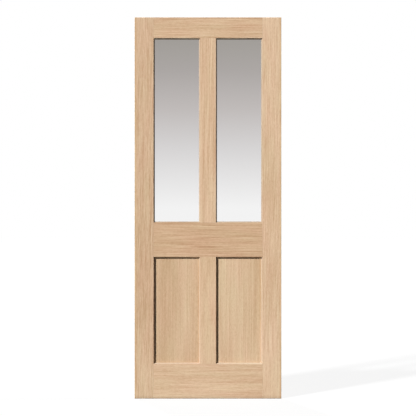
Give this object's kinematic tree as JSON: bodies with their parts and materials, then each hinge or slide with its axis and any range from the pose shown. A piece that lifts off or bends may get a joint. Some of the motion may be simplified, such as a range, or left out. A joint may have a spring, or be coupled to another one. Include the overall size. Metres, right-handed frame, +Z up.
{
  "type": "glazed interior door leaf",
  "caption": "Oak interior door leaf: a stile and rail frame with clear panes above the lock rail, flat panels below it and splayed edges round each opening.",
  "frame": {"origin": "foot of the hinge edge, in the middle of its thickness", "axes": "+X from the hinge edge to the lock edge, the front of the leaf faces -Y, +Z up"},
  "size_m": [0.762, 0.035, 1.981],
  "materials": {
    "oak_veneer": "oak veneer, matt lacquer",
    "solid_oak": "solid oak, matt lacquer",
    "oak_panel": "oak veneer, matt lacquer",
    "clear_glass": "clear toughened",
    "glazing_tape": "closed-cell foam"
  },
  "bodies": {
    "root": {"hinge_stile": "oak_veneer", "lock_stile": "oak_veneer", "top_rail": "oak_veneer", "lock_rail": "oak_veneer", "bottom_rail": "oak_veneer", "upper_muntin": "oak_veneer", "lower_muntin": "oak_veneer", "hinge_edge_lipping": "solid_oak", "lock_edge_lipping": "solid_oak", "left_panel": "oak_panel", "left_pane": "clear_glass", "left_front_tape": "glazing_tape", "left_back_tape": "glazing_tape", "left_pane_hinge_side_bead": "solid_oak", "left_pane_lock_side_bead": "solid_oak", "left_pane_foot_bead": "solid_oak", "left_pane_head_bead": "solid_oak", "right_panel": "oak_panel", "right_pane": "clear_glass", "right_front_tape": "glazing_tape", "right_back_tape": "glazing_tape", "right_pane_hinge_side_bead": "solid_oak", "right_pane_lock_side_bead": "solid_oak", "right_pane_foot_bead": "solid_oak", "right_pane_head_bead": "solid_oak"}
  },
  "joints": []
}
